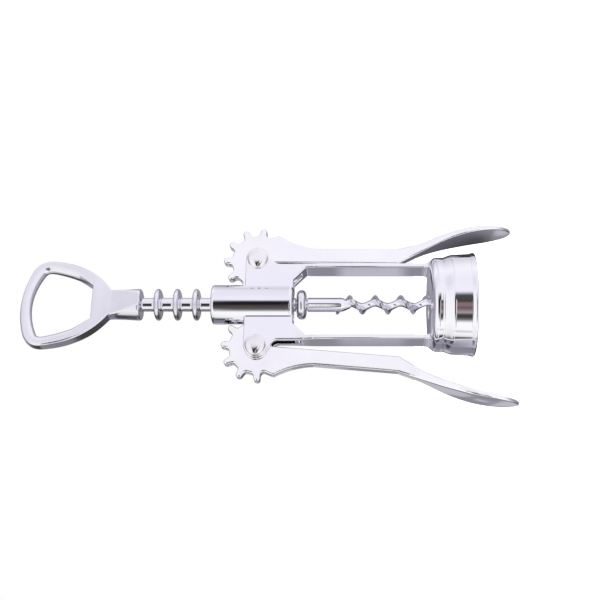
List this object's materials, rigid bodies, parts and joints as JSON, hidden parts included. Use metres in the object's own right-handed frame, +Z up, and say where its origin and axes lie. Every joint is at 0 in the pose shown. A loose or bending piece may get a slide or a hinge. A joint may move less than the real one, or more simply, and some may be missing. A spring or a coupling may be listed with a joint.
{
  "type": "lever corkscrew",
  "caption": "Winged lever corkscrew: bell and cage with guide tube, two geared levers meshing with a ringed rack, auger worm and a bottle-opener loop handle",
  "frame": {"origin": "centre of the bell's mouth, in the plane of its rim, on the worm's axis", "axes": "+Z up the worm's axis from the bell to the handle; the levers swing in the XZ plane, the right one on the +X side; the lever pivots run along Y"},
  "size_m": [0.0569, 0.0326, 0.1546],
  "materials": {
    "frame_plate": "bright nickel-chrome plate on a zinc alloy casting, softly polished",
    "lever_plate": "bright plate over a satin ground, with a faint grain along the arm",
    "rack_plate": "mirror-bright plate on turned rings",
    "worm_steel": "polished carbon steel under thin nickel, with slight draw marks",
    "rivet_steel": "bright domed rivet heads",
    "handle_plate": "bright plate on a smooth casting with soft edges"
  },
  "bodies": {
    "frame": {"bell": "frame_plate", "throat_ring": "frame_plate", "guide_tube": "frame_plate", "right_yoke": "frame_plate", "left_yoke": "frame_plate", "right_rivet": "rivet_steel", "left_rivet": "rivet_steel"},
    "rack": {"rack_sleeve": "rack_plate"},
    "screw": {"spindle": "worm_steel", "stop_collar": "rack_plate", "worm": "worm_steel", "handle": "handle_plate"},
    "right_lever": {"right_lever": "lever_plate"},
    "left_lever": {"left_lever": "lever_plate"}
  },
  "joints": [
    {"name": "rack_slide", "type": "slide", "parent": "frame", "child": "rack", "axis": [0, 0, -1], "range_m": [0, 0.028]},
    {"name": "screw_turn", "type": "hinge", "parent": "rack", "child": "screw", "pos_m": [0, 0, 0.0537], "axis": [0, 0, 1], "continuous": true},
    {"name": "right_lever_swing", "type": "hinge", "parent": "frame", "child": "right_lever", "pos_m": [0.01405, 0, 0.0675], "axis": [0, -1, 0], "range_deg": [0, 154.1]},
    {"name": "left_lever_swing", "type": "hinge", "parent": "frame", "child": "left_lever", "pos_m": [-0.01405, 0, 0.0675], "axis": [0, 1, 0], "range_deg": [0, 154.1]}
  ],
  "couplings": [
    {"joint": "right_lever_swing", "follows": "rack_slide", "rad_per_m": 96},
    {"joint": "left_lever_swing", "follows": "rack_slide", "rad_per_m": 96}
  ]
}
